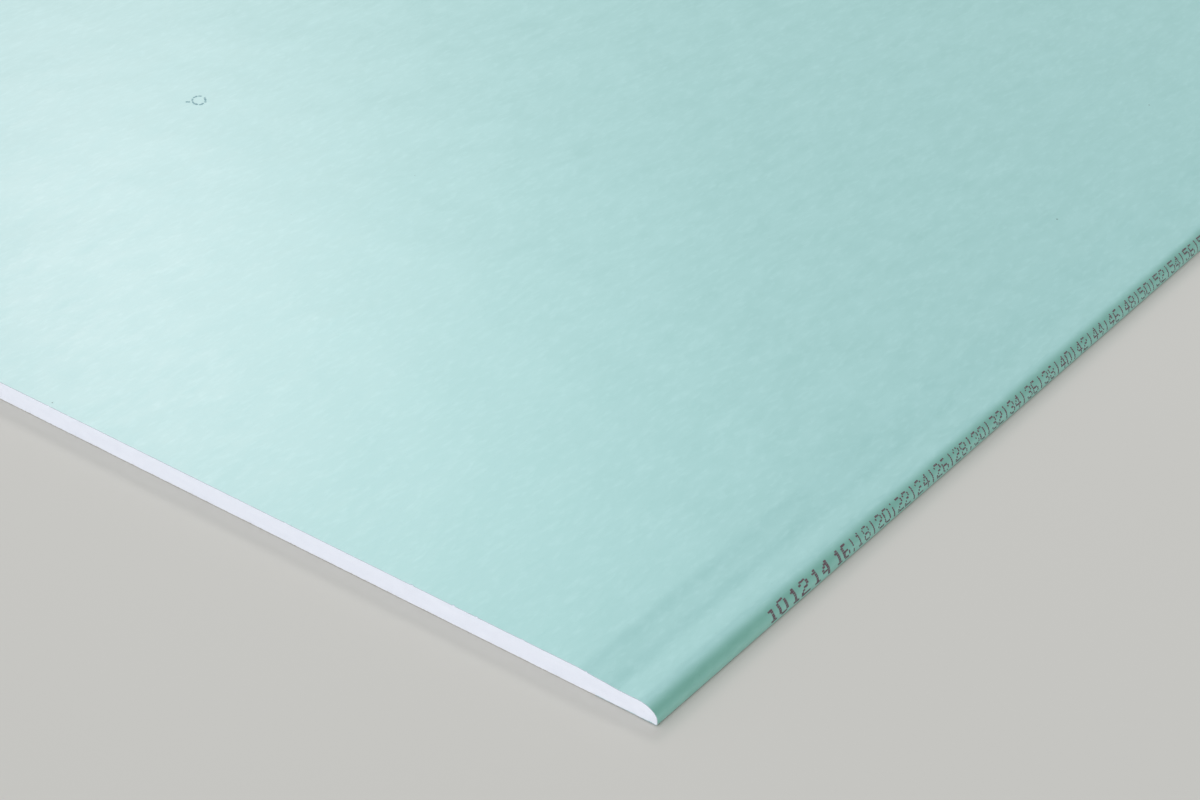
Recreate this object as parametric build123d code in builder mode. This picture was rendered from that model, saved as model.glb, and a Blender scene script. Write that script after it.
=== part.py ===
from build123d import *

import os

# Plasterboard sheet lying face up: a gypsum core between two liner papers.
# The green face paper wraps both long edges and folds onto the back.
# Millimetres. X runs across the sheet, Y along it and Z up out of the face.
# The origin is at the middle of the back, in the plane that the sheet lies on.

# Stock size
sheet_width = 1250.0
sheet_length = 2000.0
sheet_thickness = 12.5

# Liner papers
face_paper_thickness = 0.35
back_paper_thickness = 0.3

# Fold of the face paper on the back, counted inwards from the heel of the edge
bare_flap_width = 10.0
covered_flap_width = 26.0

# Taper: two shallow steps with a ledge between them, then a level land
upper_step_width = 12.0
upper_step_drop = 0.8
ledge_width = 4.0
lower_step_width = 12.0
lower_step_drop = 1.0
land_width = 10.0

# Half-round nose: a quarter ellipse, upright under it, then a tight heel
nose_width = 12.0
upright_top_height = 3.2
heel_radius = 1.2
quarter_turn = 90

# Places that follow from the sizes
edge_x = sheet_width / 2
land_start_x = edge_x - nose_width - land_width
ledge_end_x = land_start_x - lower_step_width
ledge_start_x = ledge_end_x - ledge_width
taper_start_x = ledge_start_x - upper_step_width
ledge_z = sheet_thickness - upper_step_drop
land_z = ledge_z - lower_step_drop
nose_rise = land_z - upright_top_height
heel_z = back_paper_thickness + heel_radius
back_paper_edge_x = edge_x - heel_radius - bare_flap_width
flap_end_x = back_paper_edge_x - covered_flap_width


def draw_step(start_x, start_z, end_x, end_z):
    """Draws one press step of the taper, level at both ends."""
    middle_x = (start_x + end_x) / 2
    Bezier((start_x, start_z), (middle_x, start_z), (middle_x, end_z), (end_x, end_z))


def draw_wrap(depth):
    """Draws the right half of the wrapped face, this deep under the paper's outer side.

    The line runs from the middle of the face over the taper and the nose to the end of the fold.
    """
    face_level = sheet_thickness - depth
    ledge_level = ledge_z - depth
    land_level = land_z - depth
    fold_level = back_paper_thickness + depth
    Line((0, face_level), (taper_start_x, face_level))
    draw_step(taper_start_x, face_level, ledge_start_x, ledge_level)
    Line((ledge_start_x, ledge_level), (ledge_end_x, ledge_level))
    draw_step(ledge_end_x, ledge_level, land_start_x, land_level)
    Line((land_start_x, land_level), (edge_x - nose_width, land_level))
    EllipticalCenterArc(
        (edge_x - nose_width, upright_top_height),
        nose_width - depth,
        nose_rise - depth,
        start_angle=quarter_turn,
        arc_size=-quarter_turn,
    )
    Line((edge_x - depth, upright_top_height), (edge_x - depth, heel_z))
    CenterArc(
        (edge_x - heel_radius, heel_z),
        heel_radius - depth,
        start_angle=0,
        arc_size=-quarter_turn,
    )
    Line((edge_x - heel_radius, fold_level), (flap_end_x, fold_level))


# Face paper: one sheet over the face, round both long edges and onto the back
with BuildPart() as face_paper:
    with BuildSketch(Plane.XZ):
        with BuildLine():
            draw_wrap(0)
            draw_wrap(face_paper_thickness)
            Line((0, sheet_thickness - face_paper_thickness), (0, sheet_thickness))
            Line(
                (flap_end_x, back_paper_thickness),
                (flap_end_x, back_paper_thickness + face_paper_thickness),
            )
        make_face()
        mirror(about=Plane.YZ)
    extrude(amount=sheet_length / 2, both=True)
face_paper.part.label = "face_paper"

# Gypsum core: fills the wrap, and steps up over the fold to lie flush beside it
with BuildPart() as gypsum_core:
    with BuildSketch(Plane.XZ):
        with BuildLine():
            draw_wrap(face_paper_thickness)
            Polyline(
                (flap_end_x, back_paper_thickness + face_paper_thickness),
                (flap_end_x, back_paper_thickness),
                (0, back_paper_thickness),
                (0, sheet_thickness - face_paper_thickness),
            )
        make_face()
        mirror(about=Plane.YZ)
    extrude(amount=sheet_length / 2, both=True)
gypsum_core.part.label = "gypsum_core"

# Back paper: a flat sheet over the core that laps onto both folds
with BuildPart() as back_paper:
    with BuildSketch(Plane.XY):
        Rectangle(2 * back_paper_edge_x, sheet_length)
    extrude(amount=back_paper_thickness)
back_paper.part.label = "back_paper"

os.makedirs("parts", exist_ok=True)
export_step(face_paper.part, "parts/face_paper.step")
export_step(gypsum_core.part, "parts/gypsum_core.step")
export_step(back_paper.part, "parts/back_paper.step")
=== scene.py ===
"""Drywall sheet, dressed: a gypsum core between a mint face paper and a grey back paper.

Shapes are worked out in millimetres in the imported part's own frame, and written to Blender in
metres.
"""

import logging
import math
from abc import ABC, abstractmethod
from collections.abc import Callable, Sequence
from dataclasses import dataclass
from enum import Enum
from typing import Any

import bpy
import numpy as np
from mathutils import Matrix, Vector


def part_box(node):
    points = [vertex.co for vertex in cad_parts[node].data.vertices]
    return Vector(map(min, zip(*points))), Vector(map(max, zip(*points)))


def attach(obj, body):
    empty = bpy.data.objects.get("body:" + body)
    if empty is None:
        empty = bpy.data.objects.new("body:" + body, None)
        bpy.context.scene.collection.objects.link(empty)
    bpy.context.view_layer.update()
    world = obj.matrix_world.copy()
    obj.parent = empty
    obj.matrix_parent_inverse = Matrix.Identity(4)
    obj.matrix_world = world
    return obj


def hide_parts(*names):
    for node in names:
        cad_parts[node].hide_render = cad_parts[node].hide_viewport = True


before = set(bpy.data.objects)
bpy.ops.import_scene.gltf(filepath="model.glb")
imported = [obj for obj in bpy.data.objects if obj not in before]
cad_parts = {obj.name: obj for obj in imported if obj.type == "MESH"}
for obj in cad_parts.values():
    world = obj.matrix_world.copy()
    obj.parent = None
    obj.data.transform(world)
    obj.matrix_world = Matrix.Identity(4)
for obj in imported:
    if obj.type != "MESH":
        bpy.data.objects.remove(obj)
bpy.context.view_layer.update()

MM = 0.001
BODY = "root"
SHARP_DEGREES = 40.0
LOG = logging.getLogger("drywall_sheet")

# Sockets of the colour mix node, which has one set for each kind of value
MIX_FACTOR = 0
MIX_A = 6
MIX_B = 7
MIX_RESULT = 2


class Slot(Enum):
    """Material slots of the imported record."""

    GYPSUM = "gypsum"
    FACE = "green_face_paper"
    BACK = "grey_back_paper"


class End(Enum):
    """The two cut ends of the sheet, by the side of the origin that they lie on."""

    LOW = -1
    HIGH = 1


# Dots of the printed digits, five columns by seven rows
DIGITS = {
    "0": (" ### ", "#   #", "#   #", "#   #", "#   #", "#   #", " ### "),
    "1": ("  #  ", " ##  ", "  #  ", "  #  ", "  #  ", "  #  ", " ### "),
    "2": (" ### ", "#   #", "    #", "  ## ", " #   ", "#    ", "#####"),
    "3": (" ### ", "#   #", "    #", "  ## ", "    #", "#   #", " ### "),
    "4": ("   # ", "  ## ", " # # ", "#  # ", "#####", "   # ", "   # "),
    "5": ("#####", "#    ", "#### ", "    #", "    #", "#   #", " ### "),
    "6": (" ### ", "#    ", "#    ", "#### ", "#   #", "#   #", " ### "),
    "7": ("#####", "    #", "   # ", "   # ", "  #  ", "  #  ", "  #  "),
    "8": (" ### ", "#   #", "#   #", " ### ", "#   #", "#   #", " ### "),
    "9": (" ### ", "#   #", "#   #", " ####", "    #", "    #", " ### "),
}


def linear(hex_colour: str) -> tuple[float, float, float, float]:
    """Turns an sRGB hex colour into linear light.

    Args:
        hex_colour: Six hex digits after a hash mark.

    Returns:
        Red, green, blue and an alpha of 1.
    """
    channels = [int(hex_colour[i : i + 2], 16) / 255 for i in (1, 3, 5)]
    lit = [c / 12.92 if c <= 0.04045 else ((c + 0.055) / 1.055) ** 2.4 for c in channels]
    return (lit[0], lit[1], lit[2], 1.0)


def add_node(
    tree: bpy.types.NodeTree,
    kind: str,
    inputs: dict[str | int, Any] | None = None,
    **settings: Any,
) -> bpy.types.Node:
    """Adds a node with its settings, and fills or links its inputs.

    Args:
        tree: The node tree that gets the node.
        kind: Blender's name of the node type, without the "ShaderNode" at its start.
        inputs: Socket name or number to a value, or to the output socket that feeds it.
        **settings: Properties of the node.

    Returns:
        The new node.
    """
    node = tree.nodes.new("ShaderNode" + kind)
    for name, value in settings.items():
        setattr(node, name, value)
    for socket, value in (inputs or {}).items():
        if isinstance(value, bpy.types.NodeSocket):
            tree.links.new(value, node.inputs[socket])
        else:
            node.inputs[socket].default_value = value
    return node


def new_tree(owner: bpy.types.Material | bpy.types.World) -> bpy.types.NodeTree:
    """Empties the node tree of a material or a world.

    Args:
        owner: The material or the world.

    Returns:
        Its node tree.
    """
    owner.use_nodes = True
    owner.node_tree.nodes.clear()
    return owner.node_tree


def lattice_cell(place: np.ndarray, size: float) -> tuple[np.ndarray, np.ndarray]:
    """Finds the cells of an even lattice that places lie in.

    Args:
        place: Places along a line, in millimetres.
        size: Size of a cell, in millimetres.

    Returns:
        The number of each cell, and how far across it the place lies, eased at both ends.
    """
    cell = place / size
    whole = np.floor(cell).astype(int)
    share = cell - whole
    return whole, share * share * (3 - 2 * share)


def value_noise(place: np.ndarray, size: float, seed: int) -> np.ndarray:
    """Gives smooth noise along a line.

    Args:
        place: Places along the line, in millimetres.
        size: Distance from one value to the next, in millimetres.
        seed: Picks the noise.

    Returns:
        Values from -1 to 1.
    """
    count = 4096
    lattice = np.random.default_rng(seed).uniform(-1, 1, count)
    whole, blend = lattice_cell(place, size)
    return lattice[whole % count] * (1 - blend) + lattice[(whole + 1) % count] * blend


def plane_noise(u: np.ndarray, v: np.ndarray, size: float, seed: int) -> np.ndarray:
    """Gives smooth noise over a plane.

    Args:
        u: First coordinates, in millimetres.
        v: Second coordinates, in millimetres.
        size: Distance from one value to the next, in millimetres.
        seed: Picks the noise.

    Returns:
        Values from -1 to 1.
    """
    count = 512
    lattice = np.random.default_rng(seed).uniform(-1, 1, (count, count))
    column, blend_u = lattice_cell(u, size)
    row, blend_v = lattice_cell(v, size)
    low, high = (
        lattice[column % count, level % count] * (1 - blend_u)
        + lattice[(column + 1) % count, level % count] * blend_u
        for level in (row, row + 1)
    )
    return low * (1 - blend_v) + high * blend_v


def slab_faces(rows: int, columns: int) -> tuple[list[tuple[int, ...]], list[tuple[int, ...]]]:
    """Lists the faces of a closed slab whose two sides are like grids of points.

    The points of the one side come first, row by row, and then those of the other.

    Args:
        rows: Number of steps from the first row to the last.
        columns: Number of steps along a row.

    Returns:
        The faces of both sides and of the edges where the rows end, and those of the edges
        along the first and the last row.
    """
    wide = columns + 1
    other = wide * (rows + 1)
    faces = []
    for row in range(rows):
        for column in range(columns):
            k = row * wide + column
            faces.append((k, k + wide, k + wide + 1, k + 1))
            faces.append((k + other, k + other + 1, k + other + wide + 1, k + other + wide))
        first = row * wide
        last = first + columns
        faces.append((first, first + other, first + other + wide, first + wide))
        faces.append((last, last + wide, last + other + wide, last + other))
    ends = []
    for near in range(columns):
        far = rows * wide + near
        ends.append((near, near + 1, near + other + 1, near + other))
        ends.append((far, far + other, far + other + 1, far + 1))
    return faces, ends


def make_piece(
    name: str,
    points: np.ndarray,
    faces: Sequence[Sequence[int]],
    finishes: Sequence[bpy.types.Material],
    face_finish: Sequence[int] | None = None,
) -> bpy.types.Object:
    """Makes a mesh piece from points in millimetres.

    Args:
        name: The piece's name.
        points: One row for each vertex.
        faces: Vertex numbers of each face.
        finishes: The piece's materials.
        face_finish: Number of each face's material, or None where all have the first.

    Returns:
        The new object, at the origin.
    """
    mesh = bpy.data.meshes.new(name)
    mesh.from_pydata((np.asarray(points) * MM).tolist(), [], [list(f) for f in faces])
    for finish in finishes:
        mesh.materials.append(finish)
    if face_finish is not None:
        mesh.polygons.foreach_set("material_index", list(face_finish))
    mesh.polygons.foreach_set("use_smooth", [True] * len(mesh.polygons))
    mesh.set_sharp_from_angle(angle=math.radians(SHARP_DEGREES))
    mesh.validate()
    mesh.update()
    piece = bpy.data.objects.new(name, mesh)
    bpy.context.scene.collection.objects.link(piece)
    return piece


def sheet_place(
    tree: bpy.types.NodeTree, x: float = 1.0, y: float = 1.0
) -> bpy.types.NodeSocket:
    """Gives places in the part's frame, scaled. A low scale draws a pattern out that way.

    Args:
        tree: The material's node tree.
        x: Scale across the sheet.
        y: Scale along the sheet.

    Returns:
        The socket of the coordinates, in metres.
    """
    place = add_node(tree, "TexCoord")
    mapped = add_node(tree, "Mapping", {"Vector": place.outputs["Object"], "Scale": (x, y, 1.0)})
    return mapped.outputs["Vector"]


@dataclass(frozen=True)
class Finish(ABC):
    """What a surface is made of and how it was made."""

    name: str

    @abstractmethod
    def look(self, tree: bpy.types.NodeTree) -> dict[str | int, Any]:
        """Adds the finish's patterns.

        Args:
            tree: The material's node tree.

        Returns:
            The inputs of the surface node.
        """

    def material(self) -> bpy.types.Material:
        """Builds the finish's node material.

        Returns:
            The new material.
        """
        made = bpy.data.materials.new(self.name)
        tree = new_tree(made)
        surface = add_node(tree, "BsdfPrincipled", self.look(tree))
        add_node(tree, "OutputMaterial", {"Surface": surface.outputs["BSDF"]})
        return made


@dataclass(frozen=True)
class LinerPaper(Finish):
    """Multi-ply recycled liner paper, wet-pressed and lightly calendered.

    The pressing leaves cloudy flocs of fibre, and the calender a soft broad sheen with no
    clear image.
    """

    ground: str
    deep_cloud: str
    pale_fleck: str
    dark_fleck: str
    wave_mm: float = 70.0
    floc_mm: float = 9.0
    fleck_mm: float = 2.8
    fibre_mm: float = 0.7
    comb: float = 0.35
    cloud_share: float = 0.62
    pale_share: float = 0.29
    dark_share: float = 0.0
    # Stretches of the noise patterns over which each tone comes in
    cloud_range: tuple[float, float] = (0.3, 0.75)
    pale_range: tuple[float, float] = (0.5, 0.8)
    dark_range: tuple[float, float] = (0.66, 0.74)
    ior: float = 1.5
    roughness: float = 0.5
    roughness_spread: float = 0.05
    wave_relief_mm: float = 0.6
    floc_relief_mm: float = 0.1
    fleck_relief_mm: float = 0.05
    # Painted shade where the nose turns from the lamps, and painted bounce light at its foot
    nose_shade_tint: str = "#FFFFFF"
    foot_bounce_tint: str = "#FFFFFF"
    bend_start_mm: float = 616.0
    bend_full_mm: float = 622.8
    foot_start_mm: float = 8.0
    foot_full_mm: float = 3.5

    def patterns(self, tree: bpy.types.NodeTree) -> dict[str, bpy.types.NodeSocket]:
        """Makes the paper's noise patterns.

        Args:
            tree: The material's node tree.

        Returns:
            Each pattern's socket by its name.
        """
        even = sheet_place(tree)
        # The fibres lie mostly along the machine's direction, which is the sheet's length
        combed = sheet_place(tree, y=self.comb)
        found: dict[str, bpy.types.NodeSocket] = {}
        # Fibres are drawn at 0.7 mm, coarser than single ones are, so that they show in a render
        for name, place, size_mm, detail, roughness in (
            ("wave", even, self.wave_mm, 1.0, 0.5),
            ("floc", combed, self.floc_mm, 3.0, 0.6),
            ("fleck", combed, self.fleck_mm, 2.0, 0.5),
            ("fibre", combed, self.fibre_mm, 2.0, 0.5),
        ):
            noise = add_node(
                tree,
                "TexNoise",
                {
                    "Vector": place,
                    "Scale": 1 / (size_mm * MM),
                    "Detail": detail,
                    "Roughness": roughness,
                },
            )
            found[name] = noise.outputs["Fac"]
        return found

    def painted_nose_shade(
        self, tree: bpy.types.NodeTree
    ) -> tuple[bpy.types.NodeSocket, bpy.types.NodeSocket]:
        """Finds where the paper is bent round the long edges, and its tint there.

        Painted shade where the nose turns from the lamps, and painted bounce light lower down.

        Args:
            tree: The material's node tree.

        Returns:
            The share and the colour of the tint.
        """
        place = add_node(tree, "SeparateXYZ", {"Vector": sheet_place(tree)})
        out = add_node(tree, "Math", {0: place.outputs["X"]}, operation="ABSOLUTE")
        bent, below = (
            add_node(
                tree,
                "MapRange",
                {"Value": distance, "From Min": start * MM, "From Max": full * MM},
                interpolation_type="SMOOTHSTEP",
            )
            for distance, start, full in (
                (out.outputs["Value"], self.bend_start_mm, self.bend_full_mm),
                (place.outputs["Z"], self.foot_start_mm, self.foot_full_mm),
            )
        )
        tint = add_node(
            tree,
            "Mix",
            {
                MIX_FACTOR: below.outputs["Result"],
                MIX_A: linear(self.nose_shade_tint),
                MIX_B: linear(self.foot_bounce_tint),
            },
            data_type="RGBA",
        )
        return bent.outputs["Result"], tint.outputs[MIX_RESULT]

    def look(self, tree: bpy.types.NodeTree) -> dict[str | int, Any]:
        """Adds the paper's clouds, flecks and fibres, its sheen and its pressed relief.

        Args:
            tree: The material's node tree.

        Returns:
            The inputs of the surface node.
        """
        patterns = self.patterns(tree)
        colour: Any = linear(self.ground)
        for pattern, (lowest, highest), share, tone in (
            ("floc", self.cloud_range, self.cloud_share, self.deep_cloud),
            ("fleck", self.pale_range, self.pale_share, self.pale_fleck),
            ("fibre", self.dark_range, self.dark_share, self.dark_fleck),
        ):
            strength = add_node(
                tree,
                "MapRange",
                {
                    "Value": patterns[pattern],
                    "From Min": lowest,
                    "From Max": highest,
                    "To Max": share,
                },
            )
            toned = add_node(
                tree,
                "Mix",
                {MIX_FACTOR: strength.outputs["Result"], MIX_A: colour, MIX_B: linear(tone)},
                data_type="RGBA",
            )
            colour = toned.outputs[MIX_RESULT]
        # Painted shade on the nose, and painted bounce light at its foot
        bent, tint = self.painted_nose_shade(tree)
        nose_shaded = add_node(
            tree,
            "Mix",
            {MIX_FACTOR: bent, MIX_A: colour, MIX_B: tint},
            data_type="RGBA",
            blend_type="MULTIPLY",
        )
        sheen = add_node(
            tree,
            "MapRange",
            {
                "Value": patterns["floc"],
                "To Min": self.roughness + self.roughness_spread,
                "To Max": self.roughness - self.roughness_spread,
            },
        )
        relief: dict[str | int, Any] = {}
        for pattern, depth_mm in (
            ("wave", self.wave_relief_mm),
            ("floc", self.floc_relief_mm),
            ("fleck", self.fleck_relief_mm),
        ):
            relief |= {"Height": patterns[pattern], "Distance": depth_mm * MM}
            pressed = add_node(tree, "Bump", relief)
            relief["Normal"] = pressed.outputs["Normal"]
        return {
            "Base Color": nose_shaded.outputs[MIX_RESULT],
            "Roughness": sheen.outputs["Result"],
            "IOR": self.ior,
            "Normal": relief["Normal"],
        }


@dataclass(frozen=True)
class BrokenTone(Finish):
    """A plain finish whose tone is broken up, between its ground colour and a second one."""

    ground: str
    second: str
    grain_mm: float
    # Below 1, the grain is drawn out across the sheet
    draw_across: float = 1.0
    relief_mm: float = 0.0
    roughness: float = 0.9
    ior: float = 1.45

    def look(self, tree: bpy.types.NodeTree) -> dict[str | int, Any]:
        """Adds the grain that breaks the tone, with its relief if it has any.

        Args:
            tree: The material's node tree.

        Returns:
            The inputs of the surface node.
        """
        grain = add_node(
            tree,
            "TexNoise",
            {"Vector": sheet_place(tree, x=self.draw_across), "Scale": 1 / (self.grain_mm * MM)},
        )
        toned = add_node(
            tree,
            "Mix",
            {
                MIX_FACTOR: grain.outputs["Fac"],
                MIX_A: linear(self.ground),
                MIX_B: linear(self.second),
            },
            data_type="RGBA",
        )
        inputs: dict[str | int, Any] = {
            "Base Color": toned.outputs[MIX_RESULT],
            "Roughness": self.roughness,
            "IOR": self.ior,
        }
        if self.relief_mm:
            fluff = add_node(
                tree, "Bump", {"Height": grain.outputs["Fac"], "Distance": self.relief_mm * MM}
            )
            inputs["Normal"] = fluff.outputs["Normal"]
        return inputs


@dataclass(frozen=True)
class CutPlies(BrokenTone):
    """The inner plies of liner paper where the knife cut them: undyed, soft grey and fully matt."""

    grain_mm: float = 0.4
    draw_across: float = 0.2
    relief_mm: float = 0.05


@dataclass(frozen=True)
class JettedInk(BrokenTone):
    """Pigment ink jetted onto the moving board. It soaks in, so it is matt with a broken tone."""

    grain_mm: float = 0.6
    roughness: float = 0.7


@dataclass(frozen=True)
class SetGypsum(Finish):
    """Foamed gypsum, cast between the papers and cut by a knife once set.

    The foam leaves fine pores, and the knife drags crumbs along, so the face is chalk-matt and
    faintly grained.
    """

    ground: str
    dust: str
    pore_shade: str
    pore_mm: float = 0.9
    grain_mm: float = 0.5
    drag_mm: float = 5.0
    drag_across: float = 0.25
    # The foam is uneven, so that larger and smaller pores come by turns along the drag
    drag_range: tuple[float, float] = (0.3, 0.7)
    pore_reach: tuple[float, float] = (0.12, 0.3)
    pore_core: float = 0.04
    pore_strength: float = 0.4
    pore_depth_mm: float = 0.15
    grain_depth_mm: float = 0.08
    roughness: float = 0.92
    ior: float = 1.52

    def look(self, tree: bpy.types.NodeTree) -> dict[str | int, Any]:
        """Adds the dragged dust, the pores with painted shade in them, and the grain.

        Args:
            tree: The material's node tree.

        Returns:
            The inputs of the surface node.
        """
        drag = add_node(
            tree,
            "TexNoise",
            {
                "Vector": sheet_place(tree, x=self.drag_across),
                "Scale": 1 / (self.drag_mm * MM),
                "Detail": 4.0,
                "Roughness": 0.6,
            },
        )
        pores = add_node(
            tree, "TexVoronoi", {"Vector": sheet_place(tree), "Scale": 1 / (self.pore_mm * MM)}
        )
        grain = add_node(
            tree, "TexNoise", {"Vector": sheet_place(tree), "Scale": 1 / (self.grain_mm * MM)}
        )
        reach = add_node(
            tree,
            "MapRange",
            {
                "Value": drag.outputs["Fac"],
                "From Min": self.drag_range[0],
                "From Max": self.drag_range[1],
                "To Min": self.pore_reach[0],
                "To Max": self.pore_reach[1],
            },
        )
        pore_share = add_node(
            tree,
            "MapRange",
            {
                "Value": pores.outputs["Distance"],
                "From Min": self.pore_core,
                "From Max": reach.outputs["Result"],
                "To Min": self.pore_strength,
                "To Max": 0.0,
            },
        )
        colour: Any = linear(self.ground)
        # The dust is the gypsum's own tone; the darker pore tone is painted shade in the pits
        for share, tone in (
            (drag.outputs["Fac"], self.dust),
            (pore_share.outputs["Result"], self.pore_shade),
        ):
            toned = add_node(
                tree,
                "Mix",
                {MIX_FACTOR: share, MIX_A: colour, MIX_B: linear(tone)},
                data_type="RGBA",
            )
            colour = toned.outputs[MIX_RESULT]
        pits = add_node(
            tree,
            "Bump",
            {"Height": pore_share.outputs["Result"], "Distance": self.pore_depth_mm * MM},
            invert=True,
        )
        rubbed = add_node(
            tree,
            "Bump",
            {
                "Height": grain.outputs["Fac"],
                "Distance": self.grain_depth_mm * MM,
                "Normal": pits.outputs["Normal"],
            },
        )
        return {
            "Base Color": colour,
            "Roughness": self.roughness,
            "IOR": self.ior,
            "Normal": rubbed.outputs["Normal"],
        }


MINT_FACE_PAPER = LinerPaper(
    name="mint_face_paper_calendered",
    ground="#9FC8C4",
    deep_cloud="#92BEB9",
    pale_fleck="#B4D8D5",
    dark_fleck="#7C9F9A",
    # Painted shade on the nose, and painted bounce light at its foot
    nose_shade_tint="#BAD4C7",
    foot_bounce_tint="#DEF1E5",
    roughness=0.36,
    dark_share=0.2,
)
GREY_BACK_PAPER = LinerPaper(
    name="grey_back_paper_recycled",
    ground="#B7B1A4",
    deep_cloud="#A8A193",
    pale_fleck="#CFCABD",
    dark_fleck="#6E675C",
    floc_mm=7.0,
    roughness=0.65,
    dark_share=0.5,
)
PALE_PLIES = CutPlies(name="face_liner_plies_knife_cut", ground="#C3C9D0", second="#A7AFB4")
GREY_PLIES = CutPlies(name="back_liner_plies_knife_cut", ground="#B3ADA2", second="#928C81")
# Its pore tone is painted shade in the pits
WHITE_GYPSUM = SetGypsum(
    name="set_gypsum_knife_cut", ground="#F1F1F8", dust="#E8E9F2", pore_shade="#C9CBD6"
)
EDGE_INK = JettedInk(name="edge_ink_purple_brown", ground="#543843", second="#6E555E")
FACE_INK = JettedInk(name="face_ink_pale_blue", ground="#6C9197", second="#83A8AB")
# Fine dust caught in the paper, dull and uneven
GREY_DIRT = BrokenTone(
    name="dirt_specks_grey", ground="#5E6E6B", second="#748783", grain_mm=0.6, roughness=0.7
)


@dataclass(frozen=True)
class SheetSize:
    """Overall sizes of the sheet, in millimetres."""

    width: float
    length: float
    thickness: float
    face_paper: float
    back_paper: float

    @classmethod
    def from_frame(cls) -> "SheetSize":
        """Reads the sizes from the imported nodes.

        Returns:
            The sizes.
        """
        face_low, face_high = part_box("face_paper")
        _, core_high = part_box("gypsum_core")
        back_low, back_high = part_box("back_paper")
        return cls(
            width=(face_high.x - face_low.x) / MM,
            length=(face_high.y - face_low.y) / MM,
            thickness=(face_high.z - back_low.z) / MM,
            face_paper=(face_high.z - core_high.z) / MM,
            back_paper=(back_high.z - back_low.z) / MM,
        )


@dataclass(frozen=True)
class EdgeProfile:
    """Cross-section of the tapered half-round edge, in millimetres, as the part's solids have it.

    Only the two steps are softer here, by the share in run_together.
    """

    sheet: SheetSize
    bare_flap_width: float = 10.0
    covered_flap_width: float = 26.0
    upper_step_width: float = 12.0
    upper_step_drop: float = 0.8
    ledge_width: float = 4.0
    lower_step_width: float = 12.0
    lower_step_drop: float = 1.0
    land_width: float = 10.0
    nose_width: float = 12.0
    upright_top_height: float = 3.2
    heel_radius: float = 1.2
    run_together: float = 0.5
    flat_spacing: float = 25.0
    step_points: int = 10
    ledge_points: int = 3
    land_points: int = 5
    nose_points: int = 25
    heel_points: int = 9

    @property
    def edge_x(self) -> float:
        """Half the sheet's width."""
        return self.sheet.width / 2

    @property
    def taper_start_x(self) -> float:
        """Where the flat of the face ends."""
        steps = self.upper_step_width + self.ledge_width + self.lower_step_width
        return self.edge_x - self.nose_width - self.land_width - steps

    @property
    def land_z(self) -> float:
        """Height of the land beside the nose."""
        return self.sheet.thickness - self.upper_step_drop - self.lower_step_drop

    @property
    def heel_z(self) -> float:
        """Height of the middle of the heel's arc."""
        return self.sheet.back_paper + self.heel_radius

    @property
    def back_paper_edge_x(self) -> float:
        """Where the back paper ends."""
        return self.edge_x - self.heel_radius - self.bare_flap_width

    @property
    def flap_end_x(self) -> float:
        """Where the fold of the face paper ends, under the back paper."""
        return self.back_paper_edge_x - self.covered_flap_width

    def half_wrap(self, depth: float) -> np.ndarray:
        """Gives the right half of the wrapped face, from the middle to the end of the fold.

        Args:
            depth: How deep under the paper's outer side the line lies.

        Returns:
            Rows of x and z. Lines at different depths have as many points, each beside its like.
        """
        top = self.sheet.thickness - depth
        ledge = top - self.upper_step_drop
        land = ledge - self.lower_step_drop
        fold = self.sheet.back_paper + depth
        ledge_x = self.taper_start_x + self.upper_step_width
        lower_x = ledge_x + self.ledge_width
        land_x = lower_x + self.lower_step_width
        nose_x = self.edge_x - self.nose_width
        heel_x = self.edge_x - self.heel_radius
        flats = round(self.taper_start_x / self.flat_spacing)
        line = [(x, top) for x in np.linspace(0, self.taper_start_x, flats, endpoint=False)]
        line += self.step(self.taper_start_x, top, ledge_x, ledge)
        ledge_places = np.linspace(ledge_x, lower_x, self.ledge_points, endpoint=False)
        line += [(x, ledge) for x in ledge_places]
        line += self.step(lower_x, ledge, land_x, land)
        land_places = np.linspace(land_x, nose_x, self.land_points, endpoint=False)
        line += [(x, land) for x in land_places]
        rise = land - self.upright_top_height
        for turn in np.linspace(math.pi / 2, 0, self.nose_points):
            x = nose_x + (self.nose_width - depth) * math.cos(turn)
            line.append((x, self.upright_top_height + rise * math.sin(turn)))
        for turn in np.linspace(0, -math.pi / 2, self.heel_points):
            x = heel_x + (self.heel_radius - depth) * math.cos(turn)
            line.append((x, self.heel_z + (self.heel_radius - depth) * math.sin(turn)))
        line += [(self.back_paper_edge_x, fold), (self.flap_end_x, fold)]
        wrap = np.array(line)
        # The wet core slumps a little, so the two steps run together into one soft fall
        share = np.clip((wrap[:, 0] - self.taper_start_x) / (land_x - self.taper_start_x), 0, 1)
        fall = top + (land - top) * share**2 * (3 - 2 * share)
        on_steps = (wrap[:, 1] > land) & (share > 0)
        wrap[:, 1] += np.where(on_steps, self.run_together * (fall - wrap[:, 1]), 0.0)
        return wrap

    def step(
        self, start_x: float, start_z: float, end_x: float, end_z: float
    ) -> list[tuple[float, float]]:
        """Gives one press step of the taper as a cubic curve, level at both ends.

        Args:
            start_x: Where it starts across the sheet.
            start_z: Its height there.
            end_x: Where it ends.
            end_z: Its height there, which the list leaves to the next stretch.

        Returns:
            Points of x and z.
        """
        middle_x = (start_x + end_x) / 2
        line = []
        for share in np.linspace(0, 1, self.step_points, endpoint=False):
            rest = 1 - share
            ends = rest**3 * start_x + share**3 * end_x
            x = ends + 3 * rest * share * middle_x
            level = share**2 * (3 - 2 * share)
            line.append((x, start_z + (end_z - start_z) * level))
        return line

    def full_wrap(self, depth: float) -> np.ndarray:
        """Gives the whole wrapped face, from the fold at low x to the fold at high x.

        Args:
            depth: How deep under the paper's outer side the line lies.

        Returns:
            Rows of x and z.
        """
        right = self.half_wrap(depth)
        left = right[:0:-1] * [-1, 1]
        return np.vstack([left, right])

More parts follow.
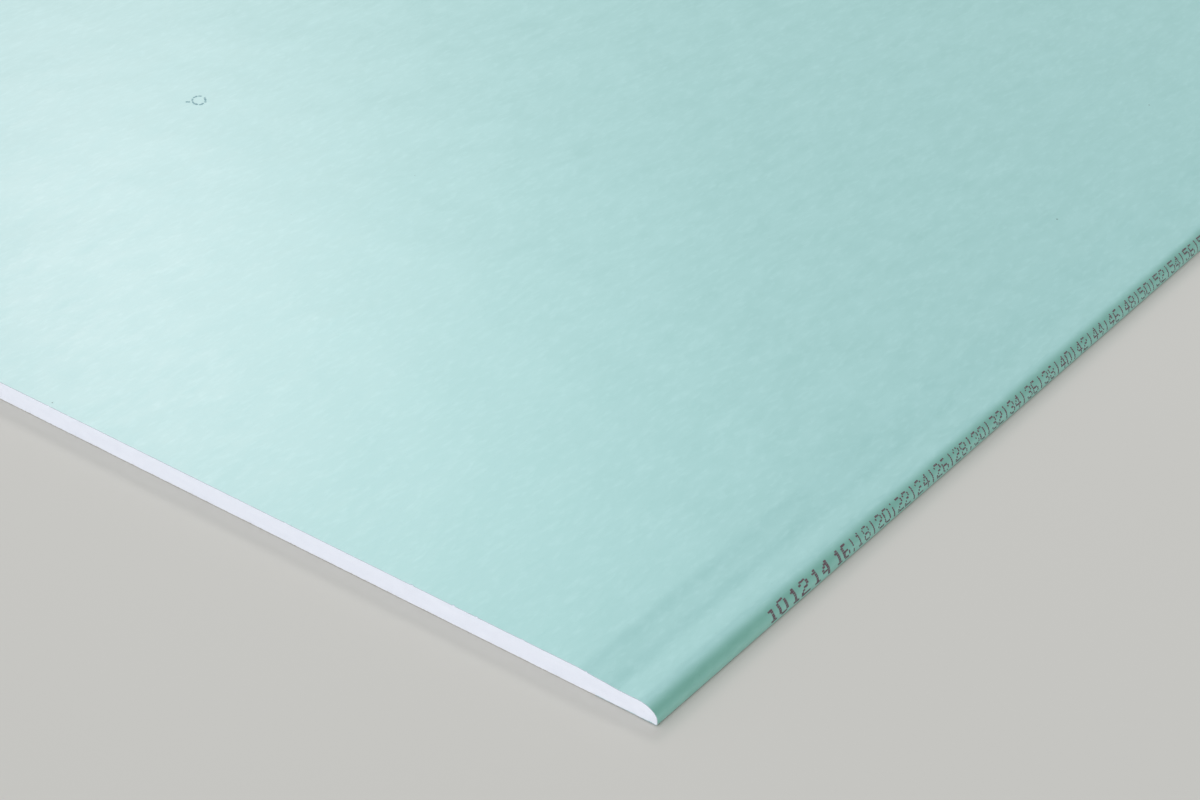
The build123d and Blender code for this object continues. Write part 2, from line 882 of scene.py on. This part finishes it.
    def top_at(self, x: np.ndarray, depth: float) -> np.ndarray:
        """Gives the height of the wrapped face above places across the sheet.

        Args:
            x: Places across the sheet.
            depth: How deep under the paper's outer side the line lies.

        Returns:
            Heights.
        """
        line = self.half_wrap(depth)
        top = line[: int(np.argmax(line[:, 0])) + 1]
        return np.interp(np.abs(x), top[:, 0], top[:, 1])

    def bottom_at(self, x: np.ndarray, depth: float) -> np.ndarray:
        """Gives the height of the core's underside above places across the sheet.

        Args:
            x: Places across the sheet.
            depth: How deep under the paper's outer side the fold's inside lies.

        Returns:
            Heights.
        """
        out = np.abs(x)
        fold = self.sheet.back_paper + depth
        radius = self.heel_radius - depth
        reach = np.clip((out - (self.edge_x - self.heel_radius)) / radius, 0, 1)
        heel = self.heel_z - radius * np.sqrt(1 - reach**2)
        return np.where(out < self.flap_end_x, self.sheet.back_paper, np.maximum(fold, heel))


@dataclass(frozen=True)
class Dot:
    """A drop of ink or a speck, in millimetres along the two directions of its surface."""

    across: float
    along: float
    radius: float


# Turns places on a surface and a lift above it into points
Surface = Callable[[np.ndarray, np.ndarray, float], np.ndarray]


@dataclass(frozen=True)
class DotPrint:
    """Closed thin flecks that follow a surface, as drops of ink do.

    Each stands a little higher or lower than the next, so that none that overlap share a face.
    Where the two directions of the surface turn round its inner side, flipped is True.
    """

    name: str
    surface: Surface
    finish: BrokenTone
    sides: int = 8
    lift: float = 0.03
    lift_spread: float = 0.012
    root: float = 0.04
    ragged: float = 0.12
    flipped: bool = False
    seed: int = 5

    def build(self, dots: Sequence[Dot]) -> bpy.types.Object:
        """Builds all the dots as one mesh.

        Args:
            dots: The dots, with their sizes.

        Returns:
            The finished piece.
        """
        draw = np.random.default_rng(self.seed)
        turns = np.linspace(0, 2 * math.pi, self.sides, endpoint=False)
        if self.flipped:
            turns = -turns
        points = []
        faces: list[tuple[int, ...]] = []
        for dot in dots:
            reach = dot.radius * (1 + self.ragged * draw.uniform(-1, 1, self.sides))
            across = dot.across + reach * np.cos(turns)
            along = dot.along + reach * np.sin(turns)
            base = len(points) * 2 * self.sides
            rise, sink = self.lift_spread * draw.uniform(0, 1, 2)
            top = self.surface(across, along, self.lift + rise)
            bottom = self.surface(across, along, -self.root - sink)
            points.append(np.vstack([top, bottom]))
            under = base + self.sides
            ring = range(self.sides)
            faces.append(tuple(base + k for k in ring))
            faces.append(tuple(under + k for k in reversed(ring)))
            for k in ring:
                after = (k + 1) % self.sides
                faces.append((base + k, under + k, under + after, base + after))
        return make_piece(self.name, np.vstack(points), faces, [self.finish.material()])


@dataclass(frozen=True)
class EdgeNick:
    """A place where the knife tore the paper at the arris, in millimetres."""

    x: float
    width: float
    depth: float


@dataclass(frozen=True)
class CutArris:
    """The cut edge of the face paper: nearly straight, with fine jitter and a few small nicks."""

    half_width: float
    seed: int
    shown: tuple[EdgeNick, ...] = ()
    setback: float = 0.08
    jitter: float = 0.03
    jitter_length: float = 1.3
    drift: float = 0.04
    drift_length: float = 9.0
    nick_count: int = 26
    nick_widths: tuple[float, float] = (0.7, 2.6)
    nick_depths: tuple[float, float] = (0.25, 0.7)
    corner_clearance: float = 20.0
    shown_clearance: float = 15.0

    def nicks(self) -> list[EdgeNick]:
        """Lists the nicks of this end: those that are shown and some more like them.

        Returns:
            The nicks.
        """
        draw = np.random.default_rng(self.seed)
        found = list(self.shown)
        reach = self.half_width - self.corner_clearance
        for x in draw.uniform(-reach, reach, self.nick_count):
            width = draw.uniform(*self.nick_widths)
            depth = draw.uniform(*self.nick_depths)
            if all(abs(x - nick.x) > self.shown_clearance for nick in self.shown):
                found.append(EdgeNick(x, width, depth))
        return found

    def inset(self, x: np.ndarray) -> np.ndarray:
        """Gives how far the paper's edge lies behind the cut, along the sheet.

        Args:
            x: Places across the sheet.

        Returns:
            Distances, all above zero.
        """
        depth = self.setback + self.jitter * value_noise(x, self.jitter_length, self.seed)
        depth = depth + self.drift * value_noise(x, self.drift_length, self.seed + 1)
        for nick in self.nicks():
            reach = np.clip(1 - np.abs(x - nick.x) / (nick.width / 2), 0, 1)
            depth = depth + nick.depth * np.sqrt(reach)
        return depth


@dataclass
class FacePaper:
    """The mint liner: one sheet over the face, round both long edges and onto the back."""

    sheet: SheetSize
    profile: EdgeProfile
    arrises: dict[End, CutArris]
    row_spacing: float = 25.0
    fine_spacing: float = 1.0
    band: float = 9.0
    # Each fine row's share of the arris's inset, and how far it lies behind it
    fine_rows: tuple[tuple[float, float], ...] = ((1.0, 0.0), (0.6, 0.5), (0.2, 1.3), (0.0, 3.0))
    wave_height: float = 0.07
    wave_length: float = 110.0
    wave_draw: float = 0.7
    ripple_share: float = 0.35
    ripple_length: float = 38.0
    ripple_draw: float = 0.6
    fade: float = 0.4
    ledge_sway: float = 0.1
    ledge_sway_width: float = 9.0
    ledge_sway_length: float = 160.0
    # Where the sheet lies in the endless noise
    noise_x: float = 900.0
    noise_y: float = 1900.0
    sway_y: float = 2100.0
    seed: int = 3

    @staticmethod
    def fine_line(coarse: np.ndarray, starts: list[int]) -> np.ndarray:
        """Divides the runs of a line, keeping its own points.

        Args:
            coarse: Rows of x and z.
            starts: Number of each coarse point among the fine ones.

        Returns:
            Rows of x and z.
        """
        places = np.arange(starts[-1] + 1)
        return np.column_stack([np.interp(places, starts, coarse[:, k]) for k in (0, 1)])

    def waves(self, x: np.ndarray, y: np.ndarray, z: np.ndarray) -> np.ndarray:
        """Gives the height of the paper's soft waves, which fade out towards the nose.

        Args:
            x: Places across the sheet.
            y: Places along the sheet.
            z: Heights of the profile there.

        Returns:
            Heights to add.
        """
        profile = self.profile
        inside = np.clip((z - profile.land_z + self.fade) / (2 * self.fade), 0, 1)
        across = x + self.noise_x
        along = y * self.wave_draw + self.noise_y
        broad = plane_noise(across, along, self.wave_length, self.seed)
        along = y * self.ripple_draw + self.noise_y
        small = plane_noise(across, along, self.ripple_length, self.seed + 1)
        ledge = profile.taper_start_x + profile.upper_step_width + profile.ledge_width / 2
        near_ledge = np.exp(-(((np.abs(x) - ledge) / self.ledge_sway_width) ** 2))
        place = y + self.sway_y + np.sign(x) * self.noise_x
        sway = value_noise(place, self.ledge_sway_length, self.seed + 5)
        cockled = self.wave_height * (broad + self.ripple_share * small)
        return inside * (cockled + self.ledge_sway * sway * near_ledge)

    def face_point(self, across: np.ndarray, along: np.ndarray, lift: float) -> np.ndarray:
        """Gives points on the face, above the waves.

        Args:
            across: Places across the sheet.
            along: Places along the sheet.
            lift: Height above the paper.

        Returns:
            One row for each point.
        """
        level = self.profile.top_at(across, 0.0)
        return np.column_stack([across, along, level + self.waves(across, along, level) + lift])

    def nose_point(self, arc: np.ndarray, along: np.ndarray, lift: float) -> np.ndarray:
        """Gives points on the nose at high x.

        Args:
            arc: Distances round the nose, upwards from the top of the heel.
            along: Places along the sheet.
            lift: Height above the paper.

        Returns:
            One row for each point.
        """
        profile = self.profile
        line = profile.half_wrap(-lift)
        slack = 0.01
        outside = line[:, 0] > profile.edge_x - profile.nose_width - slack
        above = line[:, 1] > profile.heel_z - slack
        nose = line[outside & above][::-1]
        arcs = np.concatenate([[0], np.cumsum(np.hypot(*np.diff(nose, axis=0).T))])
        x, z = (np.interp(arc, arcs, nose[:, k]) for k in (0, 1))
        return np.column_stack([x, along, z])

    def cut_rows(self, end: End, x: np.ndarray) -> list[np.ndarray]:
        """Gives the rows' places along the sheet near a cut end.

        Args:
            end: The cut end.
            x: Places across the sheet.

        Returns:
            Places along the sheet of each row's points, the outermost row first.
        """
        inset = self.arrises[end].inset(x)
        half = self.sheet.length / 2
        return [end.value * (half - (inset * share + behind)) for share, behind in self.fine_rows]

    def row_points(self, line: np.ndarray, inside: np.ndarray, y: np.ndarray) -> np.ndarray:
        """Gives the points of one row across the sheet.

        Args:
            line: Rows of x and z on the paper's outer side.
            inside: Rows of x and z on its inner side.
            y: Places along the sheet.

        Returns:
            The outer side's points, then the inner side's.
        """
        reach = self.sheet.length / 2 - self.band
        lift = self.waves(line[:, 0], np.clip(y, -reach, reach), line[:, 1])
        outer_side = np.column_stack([line[:, 0], y, line[:, 1] + lift])
        inner_side = np.column_stack([inside[:, 0], y, inside[:, 1] + lift])
        return np.vstack([outer_side, inner_side])

    @staticmethod
    def strip(low: range, high: range, starts: list[int]) -> list[tuple[int, ...]]:
        """Joins the same side of two neighbouring rows, also where only one of them is fine.

        Args:
            low: Vertex numbers of the row at the lower y.
            high: Vertex numbers of the row at the higher y.
            starts: Number of each coarse point among the fine ones.

        Returns:
            Faces that look up where the vertex numbers run towards high x.
        """
        if len(low) == len(high):
            return [(low[i], low[i + 1], high[i + 1], high[i]) for i in range(len(low) - 1)]
        # Where the fine row is the higher one, each face is turned to look the same way
        fine, coarse, way = (low, high, 1) if len(low) > len(high) else (high, low, -1)
        joined = []
        for i, (first, last) in enumerate(zip(starts, starts[1:])):
            middle = (first + last) // 2
            for j in range(first, last):
                near = coarse[i if j < middle else i + 1]
                joined.append((fine[j], fine[j + 1], near)[::way])
            joined.append((fine[middle], coarse[i + 1], coarse[i])[::way])
        return joined

    def build(self) -> bpy.types.Object:
        """Builds the paper as one closed mesh, fine at the cut ends.

        Returns:
            The finished piece.
        """
        outer = self.profile.full_wrap(0.0)
        inner = self.profile.full_wrap(self.sheet.face_paper)
        runs = np.hypot(*np.diff(outer, axis=0).T)
        counts = np.maximum(1, np.ceil(runs / self.fine_spacing)).astype(int)
        starts = [0, *np.cumsum(counts).tolist()]
        fine = (self.fine_line(outer, starts), self.fine_line(inner, starts))
        coarse = (outer, inner)
        reach = self.sheet.length / 2 - self.band
        steps = round(2 * reach / self.row_spacing)
        middle = [np.full(len(outer), y) for y in np.linspace(-reach, reach, steps + 1)]
        plan = [(fine, y) for y in self.cut_rows(End.LOW, fine[0][:, 0])]
        plan += [(coarse, y) for y in middle]
        plan += [(fine, y) for y in reversed(self.cut_rows(End.HIGH, fine[0][:, 0]))]

        points: list[np.ndarray] = []
        sides: list[tuple[range, range]] = []
        total = 0
        for (line, inside), y in plan:
            points.append(self.row_points(line, inside, y))
            seam = total + len(line)
            sides.append((range(total, seam), range(seam, seam + len(line))))
            total = seam + len(line)

        faces: list[tuple[int, ...]] = []
        for (out_a, in_a), (out_b, in_b) in zip(sides, sides[1:]):
            faces += self.strip(out_a, out_b, starts)
            faces += [face[::-1] for face in self.strip(in_a, in_b, starts)]
            faces.append((out_a[0], out_b[0], in_b[0], in_a[0]))
            faces.append((out_a[-1], in_a[-1], in_b[-1], out_b[-1]))
        finish = [0] * len(faces)
        (low_out, low_in), (high_out, high_in) = sides[0], sides[-1]
        faces += self.strip(low_in, low_out, starts)
        faces += self.strip(high_out, high_in, starts)
        finish += [1] * (len(faces) - len(finish))
        materials = [MINT_FACE_PAPER.material(), PALE_PLIES.material()]
        return make_piece("face_paper_wrap", np.vstack(points), faces, materials, finish)


@dataclass
class GypsumCore:
    """The set core, bare at the two cut ends, where the knife left it slightly rough."""

    sheet: SheetSize
    profile: EdgeProfile
    column_spacing: float = 1.0
    layers: int = 12
    nose_columns: int = 22
    last_nose_turn: float = math.radians(86)
    fold_step: float = 0.01
    setback: float = 0.1
    roughness: float = 0.05
    grain_length: float = 1.4
    swell_length: float = 5.0
    rim_setback: float = 0.06
    crumb_depth: float = 0.22
    crumb_length: float = 1.1
    crumb_least: float = 0.2
    noise_x: float = 800.0
    seed: int = 40
    seed_step: int = 10

    def columns(self) -> np.ndarray:
        """Gives the places of the columns of an end face, closer together towards the noses.

        Returns:
            Places across the sheet, rising.
        """
        nose_x = self.profile.edge_x - self.profile.nose_width
        reach = self.profile.nose_width - self.sheet.face_paper
        nose = nose_x + reach * np.sin(np.linspace(0, self.last_nose_turn, self.nose_columns))
        flap = self.profile.flap_end_x
        plain = np.arange(0, nose_x - self.column_spacing / 2, self.column_spacing)
        fold = [flap - self.fold_step, flap + self.fold_step]
        right = np.unique(np.concatenate([plain, fold, nose]))
        return np.concatenate([-right[:0:-1], right])

    def inset(self, x: np.ndarray, z: np.ndarray, rim: np.ndarray, seed: int) -> np.ndarray:
        """Gives how far the rough cut lies inside the sheet's end.

        Args:
            x: Places across the sheet.
            z: Heights.
            rim: Whether each place is at the upper or lower arris, where crumbs broke off.
            seed: Picks the noise.

        Returns:
            Distances, all above zero.
        """
        place = x + self.noise_x
        grain = plane_noise(place, z, self.grain_length, seed)
        swell = plane_noise(place, z, self.swell_length, seed + 1)
        crumbs = np.clip(value_noise(place, self.crumb_length, seed + 2) - self.crumb_least, 0, 1)
        broken = np.where(rim, self.rim_setback + self.crumb_depth * crumbs, 0)
        return self.setback + self.roughness * (grain + swell) + broken

    def build(self) -> bpy.types.Object:
        """Builds the core as one closed mesh with a fine grid on each cut end.

        Returns:
            The finished piece.
        """
        x = self.columns()
        depth = self.sheet.face_paper
        top = self.profile.top_at(x, depth)
        bottom = self.profile.bottom_at(x, depth)
        share = np.linspace(0, 1, self.layers + 1)
        grid_x = np.repeat(x, self.layers + 1)
        grid_z = (bottom[:, None] + (top - bottom)[:, None] * share).ravel()
        rim = np.tile(np.minimum(share, 1 - share) < 0.5 / self.layers, len(x))
        points = []
        for end in End:
            seed = self.seed + self.seed_step * end.value
            inset = self.inset(grid_x, grid_z, rim, seed)
            y = end.value * (self.sheet.length / 2 - inset)
            points.append(np.column_stack([grid_x, y, grid_z]))
        sides, ends = slab_faces(len(x) - 1, self.layers)
        return make_piece(
            "gypsum_core_cut", np.vstack(points), sides + ends, [WHITE_GYPSUM.material()]
        )


@dataclass
class BackPaper:
    """The grey liner on the back: a flat sheet lapped over both folds of the face paper."""

    sheet: SheetSize
    profile: EdgeProfile
    columns: int = 48
    rows: int = 80
    cut_setback: float = 0.08
    slit_setback: float = 0.25
    slit_wander: float = 0.25
    wander_length: float = 90.0
    # The wander is felt only near the slit edge, the more so the higher this power is
    wander_power: int = 8
    noise_y: float = 2000.0
    seed: int = 71

    def build(self) -> bpy.types.Object:
        """Builds the paper as one closed mesh with a slightly wandering slit edge.

        Returns:
            The finished piece.
        """
        across = np.linspace(-1, 1, self.columns + 1)
        along = np.linspace(-1, 1, self.rows + 1)
        grid_x, grid_y = (grid.ravel() for grid in np.meshgrid(across, along))
        y = grid_y * (self.sheet.length / 2 - self.cut_setback)
        noise = value_noise(y + self.noise_y, self.wander_length, self.seed)
        wander = self.slit_wander * noise
        near_slit = np.sign(grid_x) * np.abs(grid_x) ** self.wander_power
        x = grid_x * (self.profile.back_paper_edge_x - self.slit_setback) + near_slit * wander
        levels = (0.0, self.sheet.back_paper)
        points = np.vstack([np.column_stack([x, y, np.full_like(x, z)]) for z in levels])
        sides, ends = slab_faces(self.rows, self.columns)
        return make_piece(
            "back_paper_sheet",
            points,
            sides + ends,
            [GREY_BACK_PAPER.material(), GREY_PLIES.material()],
            [0] * len(sides) + [1] * len(ends),
        )


@dataclass
class EdgeScale:
    """A plain scale printed on the nose: a number every 20 mm, in centimetres, and a tick between.

    The first few numbers are struck twice side by side, so they are bolder.
    """

    paper: FacePaper
    first_place: int = 104
    last_place: int = 1900
    spacing: int = 20
    bold_end: int = 160
    bold_pitch_along: float = 1.5
    pitch_along: float = 1.15
    pitch_round: float = 1.16
    dot_radius: float = 0.62
    dot_spread: float = 0.12
    bold_offset: float = 0.48
    line_arc: float = 0.5
    drift: float = 0.3
    drift_length: float = 120.0
    jitter_round: float = 0.08
    jitter_along: float = 0.1
    digit_rows: int = 7
    digit_columns: int = 5
    missing: float = 0.03
    seed: int = 61

    def columns(self) -> list[tuple[float, str]]:
        """Lists the printed columns.

        Returns:
            Each column's place from the cut end, and its dots from the top down.
        """
        found: list[tuple[float, str]] = []
        for place in range(self.first_place, self.last_place, self.spacing):
            # The number is the place in centimetres
            digits = str(place // 10)
            bold = place < self.bold_end
            pitch = self.bold_pitch_along if bold else self.pitch_along
            width = len(digits) * (self.digit_columns + 1) - 1
            start = place - (width - 1) / 2 * pitch
            for number, digit in enumerate(digits):
                for column in range(self.digit_columns):
                    dots = "".join(row[column] for row in DIGITS[digit])
                    step = number * (self.digit_columns + 1) + column
                    found.append((start + step * pitch, dots))
            if not bold:
                found.append((place + self.spacing / 2, "#" * self.digit_rows))
        return found

    def build(self) -> bpy.types.Object:
        """Prints the scale as thin dots of ink.

        Returns:
            The finished piece.
        """
        draw = np.random.default_rng(self.seed)
        half = self.paper.sheet.length / 2
        dots = []
        for place, marks in self.columns():
            bold = place < self.bold_end + self.digit_columns * self.bold_pitch_along
            strikes = (-self.bold_offset, self.bold_offset) if bold else (0.0,)
            noise = value_noise(np.array([place]), self.drift_length, self.seed + 1)
            drift = self.drift * float(noise[0])
            for row, mark in enumerate(marks):
                skipped, off_round, off_along, size = draw.uniform(-1, 1, 4)
                if mark == " " or skipped > 1 - 2 * self.missing:
                    continue
                arc = self.line_arc + drift + (self.digit_rows - 0.5 - row) * self.pitch_round
                for strike in strikes:
                    dots.append(
                        Dot(
                            arc + self.jitter_round * off_round,
                            place - half + strike + self.jitter_along * off_along,
                            self.dot_radius * (1 + self.dot_spread * size),
                        )
                    )
        return DotPrint(
            "edge_scale_print", self.paper.nose_point, EDGE_INK, sides=6, flipped=True
        ).build(dots)


@dataclass
class CentreMarks:
    """Faint plain broken rings of dots along the middle line, at the spacing of the screws."""

    paper: FacePaper
    first_place: float = 74.0
    spacing: float = 250.0
    off_middle: float = -2.5
    slant: float = math.radians(-43)
    long_reach: float = 6.6
    short_reach: float = 4.4
    ring_dots: int = 22
    gaps: tuple[int, ...] = (3, 8, 9)
    dash: tuple[tuple[float, float], ...] = ((-4.9, -7.2), (-4.2, -6.5), (-3.5, -5.8))
    dot_radius: float = 0.75
    dot_spread: float = 0.3
    sway: float = 0.45
    end_clearance: float = 20.0
    seed: int = 64

    def places(self) -> list[tuple[float, float]]:
        """Lists the dots of one mark.

        Returns:
            Their places across and along the sheet from its middle.
        """
        found = list(self.dash)
        for dot in range(self.ring_dots):
            turn = 2 * math.pi * dot / self.ring_dots
            far = self.long_reach * math.cos(turn)
            near = self.short_reach * math.sin(turn)
            across = far * math.cos(self.slant) - near * math.sin(self.slant)
            along = far * math.sin(self.slant) + near * math.cos(self.slant)
            if dot not in self.gaps:
                found.append((across, along))
        return found

    def build(self) -> bpy.types.Object:
        """Prints the marks as thin dots of ink.

        Returns:
            The finished piece.
        """
        length = self.paper.sheet.length
        draw = np.random.default_rng(self.seed)
        dots = []
        for place in np.arange(self.first_place, length - self.end_clearance, self.spacing):
            for across, along in self.places():
                sway_across, sway_along, size = draw.uniform(-1, 1, 3)
                dots.append(
                    Dot(
                        self.off_middle + across + self.sway * sway_across,
                        place - length / 2 + along + self.sway * sway_along,
                        self.dot_radius * (1 + self.dot_spread * size),
                    )
                )
        return DotPrint("centre_mark_print", self.paper.face_point, FACE_INK, lift=0.05).build(dots)


@dataclass
class DirtSpecks:
    """A few fine dark specks caught in the face, the seen ones first."""

    paper: FacePaper
    seen: tuple[Dot, ...] = (
        Dot(514.6, -278.3, 0.5),
        Dot(543.1, -460.3, 0.5),
        Dot(201.8, -996.4, 0.45),
    )
    more: int = 26
    reach_across: float = 560.0
    reach_along: float = 980.0
    radii: tuple[float, float] = (0.12, 0.3)
    seed: int = 66

    def build(self) -> bpy.types.Object:
        """Builds the specks as ragged flecks.

        Returns:
            The finished piece.
        """
        draw = np.random.default_rng(self.seed)
        across = draw.uniform(-self.reach_across, self.reach_across, self.more)
        along = draw.uniform(-self.reach_along, self.reach_along, self.more)
        size = draw.uniform(*self.radii, self.more)
        dots = [*self.seen, *(Dot(*row) for row in np.column_stack([across, along, size]))]
        return DotPrint(
            "face_dirt_specks", self.paper.face_point, GREY_DIRT, sides=7, lift=0.05, ragged=0.45
        ).build(dots)


@dataclass(frozen=True)
class PhotoCamera:
    """The camera at the photograph's viewing angle, in the part's frame.

    Places are in millimetres and angles in degrees.
    """

    position: tuple[float, float, float] = (1160.93, -1757.79, 792.78)
    azimuth: float = 37.048
    pitch: float = 33.177
    roll: float = 0.517
    focal_px: float = 2533.0
    image_width_px: float = 1200.0
    sensor_mm: float = 36.0
    nearest: float = 50.0
    farthest: float = 100_000.0

    def build(self) -> bpy.types.Object:
        """Places the camera and makes it the scene's.

        Returns:
            The camera.
        """
        lens = bpy.data.cameras.new("photo_camera")
        lens.sensor_width = self.sensor_mm
        lens.lens = self.focal_px / self.image_width_px * self.sensor_mm
        lens.clip_start = self.nearest * MM
        lens.clip_end = self.farthest * MM
        camera = bpy.data.objects.new("photo_camera", lens)
        turn = Matrix.Rotation(math.radians(self.azimuth), 4, "Z")
        tilt = Matrix.Rotation(math.radians(90 - self.pitch), 4, "X")
        roll = Matrix.Rotation(math.radians(self.roll), 4, "Z")
        place = Matrix.Translation(Vector(self.position) * MM)
        camera.matrix_world = place @ turn @ tilt @ roll
        bpy.context.scene.collection.objects.link(camera)
        bpy.context.scene.camera = camera
        return camera


@dataclass(frozen=True)
class SoftBox:
    """A square soft lamp, in metres."""

    name: str
    position: tuple[float, float, float]
    target: tuple[float, float, float]
    radiance: float
    colour: str
    side: float = 1.0

    def build(self) -> bpy.types.Object:
        """Places the lamp and aims it.

        Returns:
            The lamp.
        """
        lamp = bpy.data.lights.new(self.name, "AREA")
        lamp.shape = "SQUARE"
        lamp.size = self.side
        lamp.energy = math.pi * self.side**2 * self.radiance
        lamp.color = linear(self.colour)[:3]
        box = bpy.data.objects.new(self.name, lamp)
        aim = Vector(self.target) - Vector(self.position)
        box.rotation_mode = "QUATERNION"
        box.rotation_quaternion = aim.to_track_quat("-Z", "Y")
        box.location = self.position
        box.visible_camera = False
        bpy.context.scene.collection.objects.link(box)
        return box


@dataclass(frozen=True)
class SkyGlow:
    """A broad soft patch of light, so far off that it falls evenly on the sheet and the floor.

    Angles are in degrees.
    """

    azimuth: float
    elevation: float
    tightness: float
    radiance: float

    def direction(self) -> tuple[float, float, float]:
        """Gives the direction of its middle, in the part's frame.

        Returns:
            The direction, of length 1.
        """
        turn = math.radians(self.azimuth)
        rise = math.radians(self.elevation)
        return (math.cos(rise) * math.cos(turn), math.cos(rise) * math.sin(turn), math.sin(rise))


@dataclass(frozen=True)
class Studio:
    """The plain pale floor, the soft light and the pale background, in metres."""

    floor_colour: str = "#C4BFB7"
    background_colour: str = "#C9C5BE"
    light_colour: str = "#F4FAFF"
    floor_reach: float = 60.0
    floor_drop: float = 0.05 * MM
    mottle_mm: float = 1000 / 1.2
    ambient: float = 0.48
    glows: tuple[SkyGlow, ...] = (
        SkyGlow(azimuth=0, elevation=90, tightness=4.0, radiance=0.33),
        SkyGlow(azimuth=-90, elevation=20, tightness=4.0, radiance=1.45),
        SkyGlow(azimuth=-45, elevation=15, tightness=4.0, radiance=0.45),
        SkyGlow(azimuth=0, elevation=10, tightness=4.0, radiance=0.3),
    )
    lamps: tuple[SoftBox, ...] = (
        SoftBox("left_softbox", (-3.32, 1.64, 2.78), (0.72, -1.43, -0.42), 9.8, "#FFECF2"),
        SoftBox("middle_softbox", (-2.88, 2.09, 2.84), (0.77, -1.38, -0.41), 6.4, "#FFF5F8"),
        SoftBox("right_softbox", (-2.21, 2.28, 3.30), (0.83, -1.36, -0.37), 6.4, "#DEFFFF"),
    )

    def build_floor(self) -> bpy.types.Object:
        """Lays the floor just under the sheet, matt and with a trace of mottling.

        Returns:
            The floor.
        """
        finish = BrokenTone(
            name="matt_studio_floor",
            ground=self.floor_colour,
            second=self.background_colour,
            grain_mm=self.mottle_mm,
            ior=1.5,
        )
        reach = self.floor_reach
        corners = [(-reach, -reach, 0), (reach, -reach, 0), (reach, reach, 0), (-reach, reach, 0)]
        mesh = bpy.data.meshes.new("studio_floor")
        mesh.from_pydata(corners, [], [(0, 1, 2, 3)])
        mesh.materials.append(finish.material())
        floor = bpy.data.objects.new("studio_floor", mesh)
        floor.location.z = -self.floor_drop
        bpy.context.scene.collection.objects.link(floor)
        return floor

    def build_world(self) -> None:
        """Sets the soft glows that light the sheet, and the plain colour seen behind the floor."""
        world = bpy.data.worlds.new("studio_world")
        tree = new_tree(world)
        place = add_node(tree, "TexCoord")
        light: Any = self.ambient
        for glow in self.glows:
            near = add_node(
                tree,
                "VectorMath",
                {0: place.outputs["Generated"], 1: glow.direction()},
                operation="DOT_PRODUCT",
            )
            # Nought in the glow's own direction, and falling on all sides of it
            away = add_node(
                tree,
                "Math",
                {0: near.outputs["Value"], 1: glow.tightness, 2: -glow.tightness},
                operation="MULTIPLY_ADD",
            )
            soft = add_node(tree, "Math", {0: away.outputs["Value"]}, operation="EXPONENT")
            summed = add_node(
                tree,
                "Math",
                {0: soft.outputs["Value"], 1: glow.radiance, 2: light},
                operation="MULTIPLY_ADD",
            )
            light = summed.outputs["Value"]
        lit, seen = (
            add_node(tree, "Background", {"Color": linear(colour), "Strength": strength})
            for colour, strength in ((self.light_colour, light), (self.background_colour, 1.0))
        )
        # The glows light what is matt; the camera, gloss and glass meet the plain background
        ray = add_node(tree, "LightPath")
        plain = ray.outputs["Is Camera Ray"]
        for kind in ("Is Glossy Ray", "Is Transmission Ray"):
            either = add_node(tree, "Math", {0: plain, 1: ray.outputs[kind]}, operation="MAXIMUM")
            plain = either.outputs["Value"]
        mixed = add_node(
            tree,
            "MixShader",
            {0: plain, 1: lit.outputs["Background"], 2: seen.outputs["Background"]},
        )
        add_node(tree, "OutputWorld", {"Surface": mixed.outputs["Shader"]})
        bpy.context.scene.world = world

    def build(self) -> None:
        """Builds the floor, the world and the lamps."""
        self.build_floor()
        self.build_world()
        for lamp in self.lamps:
            lamp.build()


def seat(piece: bpy.types.Object, stands_for: str | None = None) -> None:
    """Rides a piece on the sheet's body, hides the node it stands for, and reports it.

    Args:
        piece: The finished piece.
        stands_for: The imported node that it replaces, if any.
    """
    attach(piece, BODY)
    if stands_for:
        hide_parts(stands_for)
    mesh = piece.data
    LOG.info("%s: %d vertices, %d faces", piece.name, len(mesh.vertices), len(mesh.polygons))


def main() -> None:
    """Builds the sheet's pieces in order, then the studio round them."""
    logging.basicConfig(level=logging.INFO, format="%(name)s %(message)s")
    bpy.context.scene.view_settings.view_transform = "Standard"
    PhotoCamera().build()
    sheet = SheetSize.from_frame()
    profile = EdgeProfile(sheet)
    seen_nicks = (
        EdgeNick(470.5, 3.0, 0.6),
        EdgeNick(498.0, 1.2, 0.7),
        EdgeNick(512.9, 1.2, 0.6),
        EdgeNick(201.8, 1.0, 0.5),
    )
    arrises = {
        End.LOW: CutArris(profile.edge_x, seed=11, shown=seen_nicks),
        End.HIGH: CutArris(profile.edge_x, seed=23),
    }
    paper = FacePaper(sheet, profile, arrises)
    seat(paper.build(), "face_paper")
    seat(GypsumCore(sheet, profile).build(), "gypsum_core")
    seat(BackPaper(sheet, profile).build(), "back_paper")
    seat(EdgeScale(paper).build())
    seat(CentreMarks(paper).build())
    seat(DirtSpecks(paper).build())
    Studio().build()


if __name__ == "__main__":
    main()
